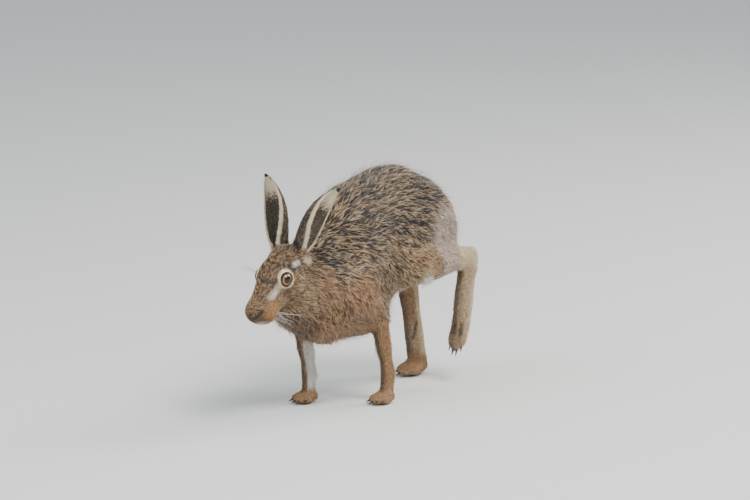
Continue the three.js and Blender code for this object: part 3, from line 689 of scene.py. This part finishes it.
def eyeball(side):
    low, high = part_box(f"eye_{side}")
    centre = (np.array(low) + np.array(high)) / 2
    sign = 1 if side == "left" else -1
    gaze = unit(np.array([sign * 0.93, 0, 0]) + 0.3 * FORWARD + 0.18 * UPWARD)
    a = unit(np.cross(gaze, UPWARD))
    b = np.cross(a, gaze)
    rings, sides = 40, 64
    verts = []
    tones = []
    black, deep, gold, edge = (linear(c) for c in (
        (0.004, 0.004, 0.006), (0.36, 0.20, 0.05), (0.72, 0.47, 0.13), (0.04, 0.03, 0.02)))
    for i in range(rings + 1):
        angle = math.pi * (i / rings) ** 1.25
        radius = EYE_RADIUS + EYE_BULGE * math.exp(-(angle / 0.55) ** 2)
        for j in range(sides):
            turn = 2 * math.pi * j / sides
            out = gaze * math.cos(angle) + (a * math.cos(turn) + b * math.sin(turn)) * math.sin(angle)
            verts.append(centre + out * radius)
            deg = math.degrees(angle)
            fleck = 0.5 + 0.5 * math.sin(turn * 23 + 2 * math.sin(turn * 7))
            iris = deep * (1 - fleck * 0.6) + gold * fleck * 0.6
            if deg < PUPIL_END:
                tone = black
            elif deg < GOLD_START:
                tone = black + (gold - black) * (deg - PUPIL_END) / (GOLD_START - PUPIL_END)
            elif deg < GOLD_END:
                tone = gold * 0.6 + iris * 0.4
            elif deg < IRIS_END:
                tone = iris + (edge - iris) * (deg - GOLD_END) / (IRIS_END - GOLD_END)
            else:
                tone = edge
            tones.append(tone)
    obj = new_object(f"eyeball_{side}", verts, ring_faces(rings, sides), colours=np.array(tones))
    obj.data.materials.append(toned(f"eye_{side}", 0.35, coat=1.0, specular=0.05))
    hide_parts(f"eye_{side}")
    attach(obj, "root")

    # the black rim of the lids
    ring = []
    steps, around = 56, 10
    for i in range(steps):
        turn = 2 * math.pi * i / steps
        flat = a * math.cos(turn) * LID_ACROSS + b * math.sin(turn) * LID_UP
        toward = max(0.0, float(unit(flat) @ unit(FORWARD - 0.75 * UPWARD)))
        behind = max(0.0, float(unit(flat) @ unit(0.4 * UPWARD - FORWARD)))
        flat = flat * (1 + 0.30 * toward ** 7 + 0.10 * behind ** 6)
        depth = math.sqrt(max(LID_REACH ** 2 - (flat @ flat), 4))
        middle = centre + (flat + gaze * depth) * MM
        out = unit(flat)
        for j in range(around):
            roll = 2 * math.pi * j / around
            width = 0.95 + 0.7 * toward ** 3
            ring.append(middle + (out * math.cos(roll) * width + gaze * math.sin(roll) * 0.7) * MM)
    lid = new_object(f"lids_{side}", ring, ring_faces(steps, around, closed=True),
                     colours=np.tile(linear(TINTS["rim"]), (len(ring), 1)))
    lid.data.materials.append(toned(f"lid_{side}", 0.35, specular=0.5))
    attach(lid, "root")


for side in EYES:
    eyeball(side)

# Ears: foot, tip, how the middle bends, the way the cup opens, and the side

EARS = {
    "left": (from_head(*EAR_FEET["left"]), np.array([41, -108, 291.0]), np.array([4, -6, 4.0]),
             np.array([0.97, 0.25, 0]), 1),
    "right": (from_head(*EAR_FEET["right"]), np.array([-46, -154, 309.0]), np.array([-5, 4, 0.0]),
              np.array([-0.35, -0.94, 0]), -1),
}


def ear_place(p, ear):
    """How far up an ear a point is, its angle round the ear's axis from the back, the way outwards
    and the way along the ear."""
    root, tip, bend, opening, _ = ear
    middle = (root + tip) / 2 + bend
    ts = np.linspace(0, 1, 60)[:, None]
    curve = (1 - ts) ** 2 * root + 2 * ts * (1 - ts) * middle + ts ** 2 * tip
    tangent = unit(2 * (1 - ts) * (middle - root) + 2 * ts * (tip - middle))
    nearest = ((p[:, None] - curve[None]) ** 2).sum(-1).argmin(1)
    t = ts[nearest, 0]
    along = tangent[nearest]
    front = unit(opening - (along @ opening)[:, None] * along)
    side = np.cross(along, front)
    r = p - curve[nearest]
    angle = np.arctan2((r * side).sum(1), -(r * front).sum(1))
    return t, angle, unit(r), along


# shares of the ear's length, and the degrees that it wraps round its axis there
EAR_WRAP = ((0, 0.08, 0.2, 0.35, 0.5, 0.65, 0.78, 0.89, 0.96, 1),
            (300, 285, 240, 200, 178, 160, 150, 140, 125, 110))


def ear_tones(p, n, ear, vary):
    t, angle, out, _ = ear_place(p, ear)
    sign = ear[4]
    edge = np.abs(angle) / np.radians(np.interp(t, *EAR_WRAP) / 2)
    outer = ((n * out).sum(1) > 0)
    # forward is the edge nearer the face
    forward = angle * -sign / 1.6
    speckle = np.clip(0.5 + 0.5 * vary, 0, 1)[:, None]
    dark = linear((0.07, 0.06, 0.05)) * (1 - speckle) + linear((0.52, 0.43, 0.32)) * speckle ** 3
    pale = linear((0.62, 0.56, 0.48)) * (0.8 + 0.3 * speckle)
    back = np.clip(0.2 - forward * 2.6, 0, 1)[:, None]
    colour = dark * (1 - back) + pale * back
    hollow = linear((0.16, 0.13, 0.10)) * (1 - speckle * 0.5) + linear((0.40, 0.34, 0.26)) * speckle * 0.5
    light = np.clip((t - 0.66 + 0.05 * vary) / 0.14, 0, 1)[:, None]
    hollow = hollow * (1 - light) + linear((0.78, 0.73, 0.62)) * light
    colour = np.where(outer[:, None], colour, hollow)
    cream = linear((0.80, 0.74, 0.63))
    rim_front = np.clip((edge - 0.80) / 0.06, 0, 1) * (forward > 0)
    rim_back = np.clip((edge - 0.92) / 0.05, 0, 1) * (forward < 0)
    rim = np.maximum(rim_front, rim_back)[:, None] * np.clip((0.93 - t) / 0.05, 0, 1)[:, None]
    colour = colour * (1 - rim) + cream * rim
    tip = np.clip((t - 0.86) / 0.06, 0, 1)[:, None] * (0.1 + 0.9 * np.maximum(outer, t > 0.95)[:, None])
    return colour * (1 - tip) + linear((0.05, 0.04, 0.04)) * tip


ear_look = toned("ear", 0.7, bump=0.6, bump_scale=700)
for side, ear in EARS.items():
    node = f"ear_{side}"
    obj = gathered(f"ear_skin_{side}", [node], 0.0, EAR_VOXEL, 5)
    e_co, _ = arrays(obj.data)
    ep = to_mm(e_co)
    t, _, _, along = ear_place(ep, ear)
    # the foot of the ear runs down into the head
    ep -= along * (9 * np.clip(1 - t / 0.14, 0, 1) ** 1.5)[:, None]
    e_co = to_frame(ep)
    obj.data.vertices.foreach_set("co", e_co.astype(np.float32).ravel())
    obj.data.update()
    e_co, e_n = arrays(obj.data)
    set_colours(obj.data, ear_tones(ep, e_n, ear, ripple(ep, 4, 8)))
    obj.data.materials.append(ear_look)
    layer = obj.data.uv_layers.new(name="OFBake")
    loops = np.empty(len(obj.data.loops), np.int32)
    obj.data.loops.foreach_get("vertex_index", loops)
    layer.data.foreach_set("uv", unwrap(e_co)[loops].astype(np.float32).ravel())
    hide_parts(node)
    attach(obj, "root")
    e_tri = triangles(obj.data)
    t, angle, out, _ = ear_place(ep, ear)
    outer = (e_n * out).sum(1) > 0
    edge = np.abs(angle) / np.radians(np.interp(t, *EAR_WRAP) / 2)
    edge = np.clip((edge - 0.8) / 0.15, 0, 1)
    chance = np.where(outer, 1.0, 0.12) + edge * 1.6
    root, n = roots_on(e_co, e_tri, int(EAR_HAIRS * share), chance)
    root = to_mm(root)
    t, angle, out, along = ear_place(root, ear)
    vary = np.clip(ripple(root, 5, 31) * 0.6 + rng.normal(0, 0.6, len(root)), -1.6, 1.6)
    tone = ear_tones(root, n, ear, vary)
    length = rng.uniform(2.2, 3.8, len(root)) * np.clip(1.25 - 0.45 * t, 0.6, 1.3)
    length += 5 * np.clip(1 - t / 0.12, 0, 1) + 1.5 * (np.abs(angle) > 1.1)
    lie = unit(along + out * 0.05 + rng.normal(0, 0.12, root.shape))
    strands(f"ear_hair_{side}", root - n * 0.2, n, lie, length, rng.uniform(0.3, 0.55, len(root)),
            np.full(len(root), 0.28), rng.normal(0, 0.08, len(root)), None, vary, 2, hair_look,
            colour=lambda t: tone)

# The nostrils, the cleft of the lip and the line of the mouth: painted shade in these openings and creases,
# as dark tubes sunk into the skin

skin_tree = BVHTree.FromPolygons([Vector(v) for v in co], [tuple(f) for f in tri])


def line_on_skin(name, places, radii, tone, sink):
    """A dark tube of painted shade along places of the head, sink millimetres under the skin."""
    points = []
    for at in places:
        spot, facing, _, _ = skin_tree.find_nearest(Vector(to_frame(from_head(*at))))
        points.append((np.array(spot) - np.array(facing) * sink * MM, np.array(facing)))
    steps, around = len(points) * 7, 12
    line = np.array([q[0] for q in points])
    facing = np.array([q[1] for q in points])
    at = np.linspace(0, len(points) - 1, steps)
    smooth = np.stack([np.interp(at, range(len(points)), line[:, k]) for k in range(3)], 1)
    out = unit(np.stack([np.interp(at, range(len(points)), facing[:, k]) for k in range(3)], 1))
    ahead = unit(np.gradient(smooth, axis=0))
    side = unit(np.cross(ahead, out))
    # both ends of the line draw in
    taper = np.sin(np.linspace(0.25, math.pi - 0.25, steps)) ** 0.5
    radius = np.interp(at, range(len(points)), radii) * taper
    verts = []
    for i in range(steps):
        for j in range(around):
            roll = 2 * math.pi * j / around
            verts.append(smooth[i] + (side[i] * math.cos(roll) * radius[i]
                                      + out[i] * math.sin(roll) * 0.6) * MM)
    faces = [(a, d, c, b) for a, b, c, d in ring_faces(steps - 1, around)]
    for i in (0, steps - 1):
        for j in range(1, around - 1, 2):
            quad = [i * around, i * around + j, i * around + j + 1, i * around + (j + 2) % around]
            faces.append(tuple(quad if i == 0 else quad[::-1]))
    obj = new_object(name, verts, faces, colours=np.tile(linear(tone), (len(verts), 1)))
    obj.data.materials.append(painted_slit_shade)
    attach(obj, "root")


# painted shade: near-black tubes stand in for the shade inside the nostrils, the lip's cleft and the
# mouth's crease
painted_slit_shade = toned("painted_slit_shade", 0.45, specular=0.5)
for label, s in (("left", 1), ("right", -1)):
    line_on_skin(f"nostril_{label}", [(s * 2.0, 67, -12), (s * 6.9, 63.9, -9.6), (s * 10.5, 60.4, -7.2),
                                      (s * 13.9, 54.4, -5.3)], (0.9, 1.35, 1.3, 0.7),
                 (0.02, 0.014, 0.012), -0.15)
    line_on_skin(f"mouth_{label}", [(0, 60, -27), (s * 6, 57, -30), (s * 12, 51, -30),
                                    (s * 17, 42, -29), (s * 19, 34, -29)],
                 (0.7, 0.8, 0.8, 0.8, 0.5), (0.10, 0.07, 0.05), 0.2)
line_on_skin("lip_cleft", [(0, 67, -12), (0, 65, -17), (0, 62, -23), (0, 59, -28)],
             (1.1, 1.1, 1.1, 0.9), (0.025, 0.018, 0.016), -0.15)

# Claws keep the solids' shape
horn = plain("horn", (0.03, 0.022, 0.018), 0.4)
for node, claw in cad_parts.items():
    if node.startswith("claw_"):
        claw.data.materials.clear()
        claw.data.materials.append(horn)

# Whiskers: fine bent hairs from the pads and the brows

PAD_WHISKERS = 22
BROW_WHISKERS = 4
WHITE_HAIR = (0.92, 0.9, 0.86)
DARK_HAIR = (0.1, 0.08, 0.07)


def whiskers():
    roots, lies, lengths, tones = [], [], [], []
    for sign in (1, -1):
        for i in range(PAD_WHISKERS):
            row, place = i % 4, i // 4
            at = from_head(sign * (13 + row * 1.6), 50 - place * 2.6, -12 - row * 3.2)
            out = unit(np.array([sign * 1.0, 0, 0]) * rng.uniform(0.7, 1.1)
                       + FORWARD * rng.uniform(-0.5, 0.3) + UPWARD * rng.uniform(-0.45, 0.1))
            roots.append(at)
            lengths.append(rng.uniform(26, 58))
            sweep = rng.uniform(0.1, 0.9) * (0.6 * UPWARD + 0.5 * FORWARD)
            lies.append(unit(out - np.array([sign * 0.35, 0, 0]) - sweep))
            tones.append(linear(WHITE_HAIR if row > 1 or rng.random() < 0.35 else DARK_HAIR))
        for i in range(BROW_WHISKERS):
            roots.append(from_head(sign * (17 + i), 4 + i * 1.5, 13))
            lies.append(unit(np.array([sign * 0.5, 0, 0]) + UPWARD * 0.8 + FORWARD * rng.uniform(0, 0.5)))
            lengths.append(rng.uniform(20, 34))
            tones.append(linear(DARK_HAIR))
    root, lie = np.array(roots), np.array(lies)
    normal = unit(np.cross(lie, np.array([0.2, 0.9, 0.3])))
    tone = np.array(tones)
    strands("whiskers", root, normal, lie, np.array(lengths), np.full(len(root), 0.27),
            rng.uniform(-0.15, 0.15, len(root)), rng.normal(0, 0.08, len(root)), None, None, 3,
            toned("whisker", 0.35), colour=lambda t: tone)


whiskers()

# Floor, light and camera

AZIMUTH, ELEVATION = math.radians(35), math.radians(10)
DISTANCE = 7.0
FRAME_WIDTH = 0.974
SENSOR = 36
AIM_RIGHT = 0.0156
AIM_UP = 0.0429
target = to_frame([0, 0, 150])
back = np.array([math.sin(AZIMUTH) * math.cos(ELEVATION), -math.cos(AZIMUTH) * math.cos(ELEVATION),
                 math.sin(ELEVATION)])
right = np.array([math.cos(AZIMUTH), math.sin(AZIMUTH), 0])
above = np.cross(back, right)
aim = target + right * AIM_RIGHT + above * AIM_UP

camera_data = bpy.data.cameras.new("camera")
camera_data.sensor_width = SENSOR
camera_data.lens = SENSOR * DISTANCE / FRAME_WIDTH
camera_data.clip_end = 60
camera = bpy.data.objects.new("camera", camera_data)
bpy.context.scene.collection.objects.link(camera)
camera.location = Vector(target + back * DISTANCE)
camera.rotation_euler = (Vector(aim) - camera.location).to_track_quat("-Z", "Y").to_euler()
bpy.context.scene.camera = camera

bpy.ops.mesh.primitive_plane_add(size=30, location=(0, 0, -0.0005))
floor = bpy.context.object
floor.name = "floor"
floor.data.materials.append(plain("ground", (0.62, 0.61, 0.59), 0.9))


def area_light(name, place, power, size, colour):
    data = bpy.data.lights.new(name, "AREA")
    data.energy = power
    data.size = size
    data.color = colour
    light = bpy.data.objects.new(name, data)
    bpy.context.scene.collection.objects.link(light)
    light.location = place
    light.rotation_euler = (Vector((0, 0, 0.15)) - light.location).to_track_quat("-Z", "Y").to_euler()


area_light("key", (1.9, -0.7, 2.7), 135, 1.4, (1.0, 0.99, 0.97))
area_light("sky", (-0.8, -2.3, 2.2), 46, 1.8, (0.86, 0.93, 1.0))
area_light("rim", (0.9, 2.3, 2.0), 70, 1.3, (1.0, 0.98, 0.94))
world = bpy.data.worlds.new("world")
bpy.context.scene.world = world
world.use_nodes = True
world.node_tree.nodes["Background"].inputs["Color"].default_value = (0.80, 0.86, 0.93, 1)
world.node_tree.nodes["Background"].inputs["Strength"].default_value = 0.85
